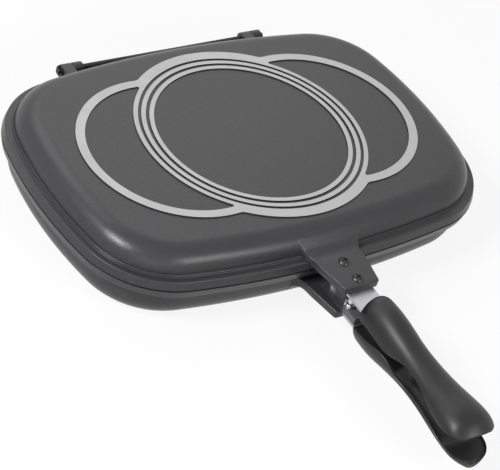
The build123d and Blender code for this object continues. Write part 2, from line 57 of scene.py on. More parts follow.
LOG = logging.getLogger("flip_pan")
MM = 0.001
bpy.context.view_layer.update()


class Side(Enum):
    """Which of the two halves a piece belongs to: its sign along +Z."""

    UPPER = 1
    LOWER = -1

    @property
    def label(self) -> str:
        """Word that starts the names of this half's pieces and nodes."""
        return self.name.lower()


def in_mm(*rows: tuple[float, ...]) -> Array:
    """Rows of lengths given in millimetres, as an array in metres."""
    return MM * np.array(rows)


# ---------------------------------------------------------------- numeric shapes


def spline_through(known_x: Array, known_y: Array, x: Array) -> Array:
    """Natural cubic spline: piecewise cubics whose first and second slopes match.

    Args:
        known_x: Rising places of the knots.
        known_y: Values at the knots.
        x: Places to work out.

    Returns:
        The spline's value at each x.
    """
    gap = np.diff(known_x)
    slope = np.diff(known_y) / gap
    count = len(known_x)
    system = np.eye(count)
    inner = np.arange(1, count - 1)
    system[inner, inner - 1] = gap[:-1]
    system[inner, inner] = 2 * (gap[:-1] + gap[1:])
    system[inner, inner + 1] = gap[1:]
    right = np.zeros(count)
    right[1:-1] = 6 * np.diff(slope)
    bend = np.linalg.solve(system, right)
    k = np.clip(np.searchsorted(known_x, x) - 1, 0, count - 2)
    before = (x - known_x[k]) / gap[k]
    after = 1 - before
    cubic = (after**3 - after) * bend[k] + (before**3 - before) * bend[k + 1]
    return after * known_y[k] + before * known_y[k + 1] + cubic * gap[k] ** 2 / 6


def smooth_step(t: Array) -> Array:
    """Cubic from 0 to 1 over t = 0..1 that starts and ends level."""
    return t * t * (3 - 2 * t)


def hermite(t: Array, start: float, end: float, start_slope: float, end_slope: float) -> Array:
    """Cubic from start to end over t = 0..1, with the given slopes per unit of t."""
    rise = smooth_step(t)
    lead = t * (1 - t) ** 2
    trail = t * t * (t - 1)
    return start + (end - start) * rise + start_slope * lead + end_slope * trail


def rounded_path(corners: Array, radii: Array, steps: int, guard: float) -> Array:
    """Polyline with each inner corner turned into an arc that is tangent to both its runs.

    The arc's centre lies on the bisector at radius / sin(half angle); its points are the
    spherical blend of the two end radii. One guard point lies just outside each arc, so
    that flat runs stay flat when the surface is shaded smooth.

    Args:
        corners: Points of the polyline, (n, 2).
        radii: Arc radius of each of the n - 2 inner corners.
        steps: Points on each arc.
        guard: Distance of the guard points from their arc.

    Returns:
        The points, (m, 2).
    """
    here = corners[1:-1]
    back = corners[:-2] - here
    ahead = corners[2:] - here
    back /= np.linalg.norm(back, axis=1, keepdims=True)
    ahead /= np.linalg.norm(ahead, axis=1, keepdims=True)
    half = np.arccos(np.clip(np.sum(back * ahead, axis=1), -1, 1)) / 2
    reach = (radii / np.tan(half))[:, None]
    bisector = back + ahead
    bisector /= np.linalg.norm(bisector, axis=1, keepdims=True)
    centre = here + bisector * (radii / np.sin(half))[:, None]
    first = here + back * reach - centre
    last = here + ahead * reach - centre
    turn = (pi - 2 * half)[:, None]
    s = np.linspace(0, 1, steps)[None, :]
    weight_first = (np.sin((1 - s) * turn) / np.sin(turn))[..., None]
    weight_last = (np.sin(s * turn) / np.sin(turn))[..., None]
    arcs = centre[:, None] + weight_first * first[:, None] + weight_last * last[:, None]
    before = (here + back * (reach + guard))[:, None]
    after = (here + ahead * (reach + guard))[:, None]
    inner = np.concatenate([before, arcs, after], axis=1).reshape(-1, 2)
    return np.vstack([corners[:1], inner, corners[-1:]])


def grid_faces(rows: int, columns: int) -> Array:
    """Quads of a grid of rings whose points are numbered row by row.

    Args:
        rows: Number of rows.
        columns: Number of points in a row; the last one joins the first.

    Returns:
        Indices, (faces, 4).
    """
    step = np.arange(columns)
    across = (step + 1) % columns
    row = np.arange(rows - 1)[:, None] * columns
    quads = np.stack(
        [row + step, row + across, row + columns + across, row + columns + step], axis=-1
    )
    return quads.reshape(-1, 4)


def signed_volume(points: Array, triangles: Array) -> float:
    """Sum of the tetrahedra from the origin to each triangle: positive if faces look out."""
    a, b, c = (points[triangles[:, k]] for k in range(3))
    return float(np.sum(a * np.cross(b, c))) / 6


class SurfaceMesh:
    """Collects closed grids and turns them into one Blender mesh object."""

    def __init__(self, name: str) -> None:
        """Starts an empty mesh that will be called name."""
        self.name = name
        self.points: list[Array] = []
        self.quads: list[Array] = []
        self.triangles: list[Array] = []
        self.count = 0

    def add_grid(self, grid: Array) -> None:
        """Adds rings of points, closed at the first and last ring by fans round their means.

        Args:
            grid: Points, (rings, points in a ring, 3).
        """
        rows, columns = grid.shape[:2]
        quads = grid_faces(rows, columns)
        column = np.arange(columns)
        ahead = (column + 1) % columns
        low = rows * columns
        last = low - columns
        first_fan = np.stack([np.full(columns, low), ahead, column], axis=-1)
        last_fan = np.stack([np.full(columns, low + 1), last + column, last + ahead], axis=-1)
        triangles = np.vstack([first_fan, last_fan])
        points = np.vstack([grid.reshape(-1, 3), grid[0].mean(axis=0), grid[-1].mean(axis=0)])
        halves = np.vstack([quads[:, [0, 1, 2]], quads[:, [0, 2, 3]], triangles])
        if signed_volume(points, halves) < 0:
            quads = quads[:, ::-1]
            triangles = triangles[:, ::-1]
        self.points.append(points)
        self.quads.append(quads + self.count)
        self.triangles.append(triangles + self.count)
        self.count += len(points)

    def build(self, sharp_angle: float = 40.0) -> bpy.types.Object:
        """Makes the object, smooth shaded except along edges sharper than sharp_angle."""
        points = np.vstack(self.points)
        quads = np.vstack(self.quads)
        triangles = np.vstack(self.triangles)
        mesh = bpy.data.meshes.new(self.name)
        mesh.vertices.add(len(points))
        mesh.vertices.foreach_set("co", points.ravel())
        corners = np.concatenate([quads.ravel(), triangles.ravel()]).astype(np.int32)
        mesh.loops.add(len(corners))
        mesh.loops.foreach_set("vertex_index", corners)
        sizes = np.concatenate([np.full(len(quads), 4), np.full(len(triangles), 3)])
        starts = np.concatenate([[0], np.cumsum(sizes)[:-1]])
        mesh.polygons.add(len(sizes))
        mesh.polygons.foreach_set("loop_start", starts.astype(np.int32))
        mesh.update(calc_edges=True)
        mesh.validate()
        mesh.shade_smooth()
        mesh.set_sharp_from_angle(angle=radians(sharp_angle))
        piece = bpy.data.objects.new(self.name, mesh)
        bpy.context.scene.collection.objects.link(piece)
        return piece


# ---------------------------------------------------------------- node groups


class NodeSheet:
    """A node tree under construction, with short ways to add and join nodes."""

    def __init__(self, tree: bpy.types.NodeTree) -> None:
        """Clears the tree."""
        self.tree = tree
        tree.nodes.clear()

    def node(self, kind: str, inputs: dict | None = None, **settings: object) -> bpy.types.Node:
        """Adds a node.

        Args:
            kind: Blender's class name of the node.
            inputs: Values or sockets for the named or numbered inputs.
            **settings: Properties of the node.

        Returns:
            The node.
        """
        made = self.tree.nodes.new(kind)
        for name, value in settings.items():
            setattr(made, name, value)
        for name, value in (inputs or {}).items():
            if isinstance(value, bpy.types.NodeSocket):
                self.tree.links.new(value, made.inputs[name])
            else:
                made.inputs[name].default_value = value
        return made

    def math(self, operation: str, *terms: object) -> bpy.types.NodeSocket:
        """One arithmetic step on up to three terms, each a value or a socket."""
        made = self.node("ShaderNodeMath", dict(enumerate(terms)), operation=operation)
        return made.outputs[0]

    def remap(
        self, value: object, low: float, high: float, to_low: float, to_high: float
    ) -> bpy.types.NodeSocket:
        """Maps low..high to to_low..to_high, smoothly and held at both ends."""
        made = self.node(
            "ShaderNodeMapRange",
            {"Value": value, 1: low, 2: high, 3: to_low, 4: to_high},
            interpolation_type="SMOOTHSTEP",
        )
        return made.outputs[0]

    def mix(self, factor: object, first: object, second: object) -> bpy.types.NodeSocket:
        """Mixes two colours by factor."""
        made = self.node("ShaderNodeMix", {0: factor, 6: first, 7: second}, data_type="RGBA")
        return made.outputs[2]


class EffectGroup:
    """A shader node group that puts out values which change over the surface."""

    def __init__(self, name: str, inputs: dict[str, float], outputs: tuple[str, ...]) -> None:
        """Makes the group with float inputs and their defaults, and float outputs."""
        self.tree = bpy.data.node_groups.new(name, "ShaderNodeTree")
        for label, value in inputs.items():
            socket = self.tree.interface.new_socket(
                label, in_out="INPUT", socket_type="NodeSocketFloat"
            )
            socket.default_value = value
        for label in outputs:
            self.tree.interface.new_socket(label, in_out="OUTPUT", socket_type="NodeSocketFloat")
        self.sheet = NodeSheet(self.tree)
        self.inlet = self.sheet.node("NodeGroupInput")
        self.outlet = self.sheet.node("NodeGroupOutput")
        self.place = self.sheet.node("ShaderNodeTexCoord").outputs["Object"]

    def give(self, **values: bpy.types.NodeSocket) -> None:
        """Joins sockets to the group's outputs."""
        for label, value in values.items():
            self.tree.links.new(value, self.outlet.inputs[label])

    def use(self, sheet: NodeSheet, **inputs: object) -> bpy.types.NodeOutputs:
        """Places the group in a material and returns its outputs."""
        made = sheet.node("ShaderNodeGroup", node_tree=self.tree)
        for label, value in inputs.items():
            made.inputs[label].default_value = value
        return made.outputs


def fleck_group() -> EffectGroup:
    """Sprayed flecks: two sizes of noise, cut to sparse pale and dark spots."""
    group = EffectGroup("flecks", {"Size": 0.9 * MM, "Spread": 0.5}, ("Pale", "Dark"))
    sheet = group.sheet
    wide_scale, wide_share, spread_reach = 0.37, 0.4, 0.12
    pale_level, dark_level, sharpness = 0.80, 0.60, 4.0
    scale = sheet.math("DIVIDE", 1.0, group.inlet.outputs["Size"])
    coarse = sheet.math("MULTIPLY", scale, wide_scale)
    fine = sheet.node("ShaderNodeTexNoise", {"Vector": group.place, "Scale": scale, "Detail": 3.0})
    wide = sheet.node("ShaderNodeTexNoise", {"Vector": group.place, "Scale": coarse, "Detail": 2.0})
    blend = sheet.math("ADD", fine.outputs[0], sheet.math("MULTIPLY", wide.outputs[0], wide_share))
    cut = sheet.math("MULTIPLY", group.inlet.outputs["Spread"], spread_reach)
    above = sheet.math("SUBTRACT", blend, sheet.math("SUBTRACT", pale_level, cut))
    below = sheet.math("SUBTRACT", sheet.math("ADD", dark_level, cut), blend)
    pale = sheet.math("MULTIPLY", above, sharpness)
    dark = sheet.math("MULTIPLY", below, sharpness)
    group.give(
        Pale=sheet.node("ShaderNodeClamp", {0: pale}).outputs[0],
        Dark=sheet.node("ShaderNodeClamp", {0: dark}).outputs[0],
    )
    return group


def grain_group() -> EffectGroup:
    """Cast or moulded grain: soft bumps with finer ones on them, as a height."""
    group = EffectGroup("grain", {"Size": 0.6 * MM, "Roughen": 0.5}, ("Height",))
    sheet = group.sheet
    scale = sheet.math("DIVIDE", 1.0, group.inlet.outputs["Size"])
    noise = sheet.node(
        "ShaderNodeTexNoise",
        {
            "Vector": group.place,
            "Scale": scale,
            "Detail": 4.0,
            "Roughness": group.inlet.outputs["Roughen"],
        },
    )
    group.give(Height=noise.outputs[0])
    return group


def smudge_group() -> EffectGroup:
    """Handling and wiping: broad soft patches, from 0 to 1."""
    low, high = 0.32, 0.68
    group = EffectGroup("smudge", {"Size": 40 * MM}, ("Amount",))
    sheet = group.sheet
    scale = sheet.math("DIVIDE", 1.0, group.inlet.outputs["Size"])
    noise = sheet.node(
        "ShaderNodeTexNoise",
        {"Vector": group.place, "Scale": scale, "Detail": 5.0, "Distortion": 0.6},
    )
    group.give(Amount=sheet.remap(noise.outputs[0], low, high, 0.0, 1.0))
    return group


def brushed_group() -> EffectGroup:
    """Brushed steel: noise drawn out along Y, as a height and as a streak value."""
    squeeze, low, high = 0.02, 0.3, 0.7
    group = EffectGroup("brushed", {"Width": 0.12 * MM}, ("Height", "Streak"))
    sheet = group.sheet
    scale = sheet.math("DIVIDE", 1.0, group.inlet.outputs["Width"])
    stretch = sheet.node("ShaderNodeMapping", {"Vector": group.place, "Scale": (1, squeeze, 1)})
    noise = sheet.node(
        "ShaderNodeTexNoise", {"Vector": stretch.outputs[0], "Scale": scale, "Detail": 2.0}
    )
    group.give(
        Height=noise.outputs[0],
        Streak=sheet.remap(noise.outputs[0], low, high, 0.0, 1.0),
    )
    return group


def turned_group() -> EffectGroup:
    """Turned metal: fine concentric grooves round the Z axis, uneven in depth."""
    group = EffectGroup("turned", {"Pitch": 0.3 * MM}, ("Height", "Streak"))
    sheet = group.sheet
    parts = sheet.node("ShaderNodeSeparateXYZ", {0: group.place})
    plane = sheet.node("ShaderNodeCombineXYZ", {0: parts.outputs[0], 1: parts.outputs[1]})
    radius = sheet.node("ShaderNodeVectorMath", {0: plane.outputs[0]}, operation="LENGTH")
    turns = sheet.math("DIVIDE", radius.outputs["Value"], group.inlet.outputs["Pitch"])
    wave = sheet.math("SINE", sheet.math("MULTIPLY", turns, 2 * pi))
    uneven = sheet.node("ShaderNodeTexNoise", {"W": turns, "Scale": 0.7}, noise_dimensions="1D")
    height = sheet.math("MULTIPLY", wave, uneven.outputs[0])
    group.give(Height=height, Streak=uneven.outputs[0])
    return group


@dataclass
class Effects:
    """The node groups that the finishes share, each built once."""

    flecks: EffectGroup = field(default_factory=fleck_group)
    grain: EffectGroup = field(default_factory=grain_group)
    smudge: EffectGroup = field(default_factory=smudge_group)
    brushed: EffectGroup = field(default_factory=brushed_group)
    turned: EffectGroup = field(default_factory=turned_group)


# ---------------------------------------------------------------- finishes


def grey(level: float, blue: float = 1.0) -> tuple[float, float, float, float]:
    """A neutral colour, with its blue part scaled."""
    return (level, level, min(level * blue, 1.0), 1.0)


@dataclass(frozen=True)
class Finish:
    """What every finish has: its record slot, its shader's plain values and its patches."""

    slot: str
    colour: float
    roughness: float
    metallic: float = 0.0
    specular: float = 0.5
    tint: float = 1.03
    patch_size: float = 40 * MM
    smoother: float = 0.0
    rougher: float = 0.0

    def start(self, name: str) -> tuple[bpy.types.Material, NodeSheet, bpy.types.Node]:
        """Makes the material with a Principled shader joined to its output.

        Args:
            name: The material's name.

        Returns:
            The material, its node sheet and the shader.
        """
        material = bpy.data.materials.new(name)
        material.use_nodes = True
        sheet = NodeSheet(material.node_tree)
        shader = sheet.node(
            "ShaderNodeBsdfPrincipled",
            {
                "Base Color": grey(self.colour, self.tint),
                "Roughness": self.roughness,
                "Metallic": self.metallic,
                "Specular IOR Level": self.specular,
            },
        )
        sheet.node("ShaderNodeOutputMaterial", {"Surface": shader.outputs[0]})
        return material, sheet, shader

    def shade(self, share: float = 1.0) -> tuple[float, float, float, float]:
        """The finish's own colour, made lighter or darker by share."""
        return grey(self.colour * share, self.tint)

    def patches(
        self, sheet: NodeSheet, shader: bpy.types.Node, effects: Effects
    ) -> bpy.types.NodeSocket:
        """Makes the gloss uneven in patches.

        Args:
            sheet: The material's node sheet.
            shader: The shader that gets the roughness.
            effects: The shared node groups.

        Returns:
            Where the patches are, from 0 to 1.
        """
        amount = effects.smudge.use(sheet, Size=self.patch_size)["Amount"]
        low, high = self.roughness - self.smoother, self.roughness + self.rougher
        gloss = sheet.remap(amount, 0.0, 1.0, low, high)
        sheet.tree.links.new(gloss, shader.inputs["Roughness"])
        return amount

    def bump(self, sheet: NodeSheet, shader: bpy.types.Node, height: object, depth: float) -> None:
        """Joins a height to the shader's normal; depth is the height of 1, in metres."""
        made = sheet.node("ShaderNodeBump", {"Height": height, "Distance": depth, "Strength": 1.0})
        sheet.tree.links.new(made.outputs[0], shader.inputs["Normal"])


@dataclass(frozen=True)
class SprayedCoat(Finish):
    """Satin non-stick coat with flecks over cast aluminium."""

    smoother: float = 0.012
    rougher: float = 0.012
    tone_swing: float = 0.04
    fleck_size: float = 0.7 * MM
    pale: float = 0.047
    dark: float = 0.024
    grain_size: float = 1.2 * MM
    grain_depth: float = 0.11 * MM

    def material(self, name: str, effects: Effects) -> bpy.types.Material:
        """Builds the finish: flecks in the colour, patches in the gloss, grain in the bump."""
        material, sheet, shader = self.start(name)
        flecks = effects.flecks.use(sheet, Size=self.fleck_size)
        amount = self.patches(sheet, shader, effects)
        base = sheet.mix(amount, self.shade(1 - self.tone_swing), self.shade(1 + self.tone_swing))
        dotted = sheet.mix(flecks["Pale"], base, grey(self.pale, self.tint))
        colour = sheet.mix(flecks["Dark"], dotted, grey(self.dark, self.tint))
        sheet.tree.links.new(colour, shader.inputs["Base Color"])
        grain = effects.grain.use(sheet, Size=self.grain_size)
        self.bump(sheet, shader, grain["Height"], self.grain_depth)
        return material


@dataclass(frozen=True)
class TurnedCrest(Finish):
    """Bare turned metal on the crests of the ridges; their sides keep a dark colour, partly the
    coat left on them and partly painted shade along the ridges.
    """

    patch_size: float = 25 * MM
    smoother: float = 0.05
    rougher: float = 0.08
    crest: float = 0.0
    # Colour of the ridges' sides: the coat, darkened further as painted shade.
    side_coat_and_shade: float = 0.012
    bare_depth: float = 0.05 * MM
    dull_share: float = 0.9
    groove_depth: float = 0.004 * MM

    def material(self, name: str, effects: Effects) -> bpy.types.Material:
        """Builds the finish: the height above the face tells the crest from the sides."""
        material, sheet, shader = self.start(name)
        turned = effects.turned.use(sheet)
        self.patches(sheet, shader, effects)
        place = sheet.node("ShaderNodeTexCoord").outputs["Object"]
        height = sheet.node("ShaderNodeSeparateXYZ", {0: place}).outputs[2]
        below = sheet.math("ABSOLUTE", sheet.math("SUBTRACT", height, self.crest))
        bare = sheet.remap(below, self.bare_depth, self.bare_depth * 2, 1.0, 0.0)
        dull = grey(self.colour * self.dull_share)
        streaked = sheet.mix(turned["Streak"], dull, grey(self.colour))
        # The sides get a flat colour darker than the coat: the coat left on them plus painted shade
        # along the ridges.
        colour = sheet.mix(bare, grey(self.side_coat_and_shade), streaked)
        sheet.tree.links.new(colour, shader.inputs["Base Color"])
        sheet.tree.links.new(bare, shader.inputs["Metallic"])
        self.bump(sheet, shader, turned["Height"], self.groove_depth)
        return material


@dataclass(frozen=True)
class BrushedMetal(Finish):
    """Drawn or stamped metal with a fine grain along Y."""

    patch_size: float = 18 * MM
    smoother: float = 0.04
    rougher: float = 0.07
    streak: float = 0.12
    grain_depth: float = 0.003 * MM

    def material(self, name: str, effects: Effects) -> bpy.types.Material:
        """Builds the finish: streaks in the colour and the gloss, grain in the bump."""
        material, sheet, shader = self.start(name)
        brushed = effects.brushed.use(sheet)
        self.patches(sheet, shader, effects)
        colour = sheet.mix(brushed["Streak"], self.shade(1 - self.streak), self.shade())
        sheet.tree.links.new(colour, shader.inputs["Base Color"])
        self.bump(sheet, shader, brushed["Height"], self.grain_depth)
        return material


@dataclass(frozen=True)
class Moulded(Finish):
    """Moulded plastic or rubber: fine grain, and gloss that handling has made uneven."""

    patch_size: float = 30 * MM
    rougher: float = 0.06
    worn_share: float = 1.25
    grain_size: float = 0.5 * MM
    grain_depth: float = 0.004 * MM

    def material(self, name: str, effects: Effects) -> bpy.types.Material:
        """Builds the finish: patches in the gloss and the colour, grain in the bump."""
        material, sheet, shader = self.start(name)
        grain = effects.grain.use(sheet, Size=self.grain_size)
        amount = self.patches(sheet, shader, effects)
        colour = sheet.mix(amount, self.shade(), self.shade(self.worn_share))
        sheet.tree.links.new(colour, shader.inputs["Base Color"])
        self.bump(sheet, shader, grain["Height"], self.grain_depth)
        return material


# ---------------------------------------------------------------- the pans


@dataclass(frozen=True)
class RimOutline:
    """Plan of the rim: four bowed sides joined by four corner arcs, tangent to each other."""

    length: float
    width: float
    corner_radius: float = 69.5 * MM
    side_bow: float = 21.1 * MM
    end_bow: float = 23.9 * MM
    side_steps: int = 72
    end_steps: int = 56
    corner_steps: int = 48

    def rays(self) -> tuple[Array, Array, Array]:
        """Centres, radii and outward directions of the points round the rim.

        A point with an inset lies at centre + (radius - inset) * direction: moving an arc
        inwards only shortens its radius.

        Returns:
            Centres (n, 2), radii (n, 1) and directions (n, 2).
        """
        half_x = self.length / 2
        half_y = self.width / 2
        side = (half_x**2 + self.side_bow**2) / (2 * self.side_bow)
        end = (half_y**2 + self.end_bow**2) / (2 * self.end_bow)
        side_y = half_y - side
        end_x = half_x - end
        span = hypot(end_x, side_y)
        to_side = side - self.corner_radius
        to_end = end - self.corner_radius
        along = (to_side**2 - to_end**2 + span**2) / (2 * span)
        across = sqrt(to_side**2 - along**2)
        corner_x = (along * end_x - across * side_y) / span
        corner_y = side_y - (along * side_y + across * end_x) / span
        end_turn = atan2(corner_y, corner_x - end_x)
        side_turn = atan2(corner_y - side_y, corner_x)
        corner, steps = self.corner_radius, self.corner_steps
        arcs = (
            (end_x, 0, end, -end_turn, end_turn, self.end_steps),
            (corner_x, corner_y, corner, end_turn, side_turn, steps),
            (0, side_y, side, side_turn, pi - side_turn, self.side_steps),
            (-corner_x, corner_y, corner, pi - side_turn, pi - end_turn, steps),
            (-end_x, 0, end, pi - end_turn, pi + end_turn, self.end_steps),
            (-corner_x, -corner_y, corner, pi + end_turn, pi + side_turn, steps),
            (0, -side_y, side, pi + side_turn, 2 * pi - side_turn, self.side_steps),
            (corner_x, -corner_y, corner, -side_turn, -end_turn, steps),
        )
        turns = np.concatenate([np.linspace(a[3], a[4], a[5], endpoint=False) for a in arcs])
        counts = [a[5] for a in arcs]
        centres = np.repeat(np.array([a[:2] for a in arcs], dtype=float), counts, axis=0)
        reaches = np.repeat(np.array([a[2] for a in arcs], dtype=float), counts)[:, None]
        return centres, reaches, np.stack([np.cos(turns), np.sin(turns)], axis=-1)

    def sweep(self, profile: Array) -> Array:
        """Carries a profile of (inset, height) points round the rim.

        Args:
            profile: Insets and heights, (n, 2).

        Returns:
            Points, (n, around, 3).
        """
        centres, reaches, directions = self.rays()
        insets = profile[:, 0][:, None, None]
        plan = centres[None] + (reaches[None] - insets) * directions[None]
        heights = np.broadcast_to(profile[:, 1][:, None, None], plan.shape[:2] + (1,))
        return np.concatenate([plan, heights], axis=-1)


@dataclass
class PanHalf:
    """One cast half: shell, strap tab and hinge knuckles, with its ridges."""

    side: Side
    outline: RimOutline
    part_z: float
    depth: float
    tab_height: float
    knuckle_width: float
    knuckle_shift: float
    rim_gap: float = 1.2 * MM
    rim_height: float = 7.3 * MM
    rim_draft: float = 1.6 * MM
    collar_inset: float = 6.7 * MM
    collar_height: float = 9.2 * MM
    body_inset: float = 8.0 * MM
    shoulder: float = 17.4 * MM
    wall: float = 3.5 * MM
    base: float = 4.0 * MM
    guard: float = 0.25 * MM
    flat_margin: float = 6 * MM
    collar_root: float = 0.35 * MM
    collar_round: float = 1.0 * MM
    ledge_root: float = 0.6 * MM
    rim_round: float = 0.9 * MM
    parting_round: float = 0.3 * MM
    inner_round: float = 0.6 * MM
    arc_steps: int = 12
    seal_inset: float = 5.0 * MM
    seal_width: float = 3.6 * MM
    seal_depth: float = 2.6 * MM
    seal_round: float = 0.2 * MM
    tab_reach: float = 34.4 * MM
    tab_thickness: float = 6.6 * MM
    tab_half_breadths: tuple[float, float, float] = (15.5 * MM, 20.0 * MM, 25.0 * MM)
    tab_flare: float = 24.0 * MM
    tab_meet_angle: float = 34.0
    tab_slope_limit: float = 1.6
    tab_rise: float = 13.0 * MM
    tab_corner: float = 2.0 * MM
    tab_edge: float = 1.3 * MM
    tab_mid_lean: float = 0.2
    tab_root_lean: float = 0.75
    tab_spread: float = 0.9
    tab_sink: float = 0.4 * MM
    tab_overrun: tuple[float, float] = (1.0 * MM, 2.5 * MM)
    tab_steps: int = 56
    knuckle_radius: float = 5.1 * MM
    knuckle_spacing: float = 169.0 * MM
    knuckle_root: float = 12.0 * MM
    knuckle_edge: float = 0.7 * MM
    hinge_offset: float = 7.2 * MM

    def place(self, grid: Array) -> Array:
        """Puts points of the half's own frame where they are on the closed pan."""
        return grid * np.array([1, 1, self.side.value]) + np.array([0, 0, self.part_z])

    def shell_profile(self) -> Array:
        """Section from the flat face over the shoulder and the rim into the hollow.

        Straight runs with rounded corners: face, shoulder, wall, collar, ledge, rim,
        parting face with the seal's groove on the upper half, inner wall and floor.

        Returns:
            Insets and heights, (n, 2).
        """
        low = self.rim_gap / 2
        inner = self.body_inset + self.wall
        floor = self.depth - self.base
        flat = self.body_inset + self.shoulder + self.flat_margin
        corners = [
            (flat, self.depth, 0),
            (self.body_inset, self.depth, self.shoulder),
            (self.body_inset, self.collar_height, self.collar_root),
            (self.collar_inset, self.collar_height, self.collar_round),
            (self.collar_inset, self.rim_height, self.ledge_root),
            (self.rim_draft, self.rim_height, self.rim_round),
            (0, low, self.parting_round),
        ]
        if self.side is Side.UPPER:
            near = self.seal_inset
            far = near + self.seal_width
            top = low + self.seal_depth
            groove = ((near, low), (near, top), (far, top), (far, low))
            corners += [(inset, height, self.seal_round) for inset, height in groove]
        corners += [
            (inner, low, self.inner_round),
            (inner, floor, self.shoulder - self.wall),
            (flat, floor, 0),
        ]
        table = np.array(corners)
        return rounded_path(table[:, :2], table[1:-1, 2], self.arc_steps, self.guard)

    def shell(self) -> bpy.types.Object:
        """The casting's shell: the section carried round the rim, closed by two flat faces.

        Three rings, drawn in to 0, 0.35 and 0.7 of the section's end ring, lead each flat
        face to its middle.
        """
        grid = self.outline.sweep(self.shell_profile())
        shrink = np.array([0.0, 0.35, 0.7])[:, None, None]
        scale = np.array([1.0, 1.0, 0.0])
        face = grid[0] * (1 - scale * (1 - shrink))
        floor = grid[-1] * (1 - scale * (1 - shrink[::-1]))
        mesh = SurfaceMesh(f"{self.side.label}_shell")
        mesh.add_grid(self.place(np.concatenate([face[1:], grid, floor[:-1]])))
        return mesh.build()

    def tab(self) -> bpy.types.Object:
        """Strap tab: a rounded bar whose breadth and top follow its length into the shoulder.

        Section at a place along Y: core rectangle (half breadth - edge, height - edge) plus
        a round of the edge's radius. The edge shrinks over a quarter circle at the far end.
        The top is flat, then a cubic that meets the shoulder's arc with the arc's own slope,
        then runs along just under that arc.
        """
        end_y = -self.outline.width / 2 - self.tab_reach
        wall_y = -self.outline.width / 2 + self.body_inset
        meet = radians(self.tab_meet_angle)
        centre_z = self.depth - self.shoulder
        meet_y = wall_y + self.shoulder * (1 - cos(meet))
        meet_z = centre_z + self.shoulder * sin(meet)
        rise_y = wall_y - self.tab_rise
        edge = self.tab_edge
        turn = np.linspace(0, pi / 2, 7)
        run = np.linspace(end_y + 2 * edge, meet_y, self.tab_steps)
        rounded_end = end_y + edge * (1 - np.cos(turn))
        y = np.concatenate([rounded_end, run, meet_y + np.array(self.tab_overrun)])
        pinch = np.zeros_like(y)
        pinch[: len(turn)] = edge * (1 - np.sin(turn))
        end_half, mid_half, root_half = self.tab_half_breadths
        along = y - end_y
        taper = end_half + (mid_half - end_half) * np.minimum(along / self.tab_flare, 1)
        span = wall_y - end_y - self.tab_flare
        t = np.clip((along - self.tab_flare) / span, 0, 1)
        leans = (self.tab_mid_lean * span, self.tab_root_lean * span)
        flare = hermite(t, mid_half, root_half, *leans)
        beyond = np.maximum(along - self.tab_flare - span, 0)
        half = np.where(t > 0, flare + self.tab_spread * beyond, taper)
        corner = self.tab_corner
        short = np.clip(corner - along, 0, corner)
        half -= corner - np.sqrt(corner**2 - short**2)
        top_flat = self.tab_height + self.tab_thickness
        t = np.clip((y - rise_y) / (meet_y - rise_y), 0, 1)
        slope = (meet_y - rise_y) * min(cos(meet) / sin(meet), self.tab_slope_limit)
        top = hermite(t, top_flat, meet_z, 0.0, slope)
        inside = np.clip((y - wall_y) / self.shoulder, 0, 1)
        arc = centre_z + self.shoulder * np.sqrt(1 - (1 - inside) ** 2)
        top = np.where(y > meet_y, arc - self.tab_sink, top)
        quarter = np.linspace(0, pi / 2, 6)
        around = np.concatenate([quarter + k * pi / 2 for k in range(4)])
        sign_x = np.repeat([1, -1, -1, 1], len(quarter))
        is_top = np.repeat([1, 1, 0, 0], len(quarter))
        swell = (edge - pinch)[:, None]
        x = sign_x * (half[:, None] - edge) + swell * np.cos(around)
        mid = is_top * (top[:, None] - edge) + (1 - is_top) * (self.tab_height + edge)
        z = mid + swell * np.sin(around)
        grid = np.stack([x, np.broadcast_to(y[:, None], x.shape), z], axis=-1)
        mesh = SurfaceMesh(f"{self.side.label}_tab")
        mesh.add_grid(self.place(grid))
        return mesh.build()

    def knuckles(self) -> bpy.types.Object:
        """Hinge knuckles: the outline of eye and web carried along X, with rounded ends.

        The outline moves inwards along its own normals by edge * (1 - sin) where the
        place along X is edge * (1 - cos) from an end.
        """
        low = self.rim_gap / 2
        radius = self.knuckle_radius
        hinge_y = self.outline.width / 2 + self.hinge_offset
        root_y = self.outline.width / 2 - self.knuckle_root
        meet = pi - np.arcsin(low / radius)
        eye = np.linspace(pi / 2, meet - 2 * pi, 48)
        curve = np.stack([hinge_y + radius * np.cos(eye), radius * np.sin(eye)], axis=-1)
        web_y = np.linspace(root_y, hinge_y, 8)[:-1]
        top_run = np.stack([web_y, np.full_like(web_y, radius)], axis=-1)
        back_run = np.array([[root_y, low]])
        outline = np.concatenate([top_run, curve, back_run])
        ahead = np.roll(outline, -1, axis=0) - np.roll(outline, 1, axis=0)
        normal = np.stack([-ahead[:, 1], ahead[:, 0]], axis=-1)
        normal /= np.linalg.norm(normal, axis=1, keepdims=True)
        turn = np.linspace(0, pi / 2, 6)
        half = self.knuckle_width / 2
        ramp = self.knuckle_edge * (1 - np.cos(turn))
        x = np.concatenate([-half + ramp, (half - ramp)[::-1]])
        inset = self.knuckle_edge * (1 - np.sin(turn))
        inset = np.concatenate([inset, inset[::-1]])
        section = outline[None] - inset[:, None, None] * normal[None]
        mesh = SurfaceMesh(f"{self.side.label}_knuckles")
        for pair in (-self.knuckle_spacing / 2, self.knuckle_spacing / 2):
            place_x = (x + pair + self.knuckle_shift)[:, None, None]
            across = np.broadcast_to(place_x, section.shape[:2] + (1,))
            mesh.add_grid(self.place(np.concatenate([across, section], axis=-1)))
        return mesh.build()


# ---------------------------------------------------------------- the handles


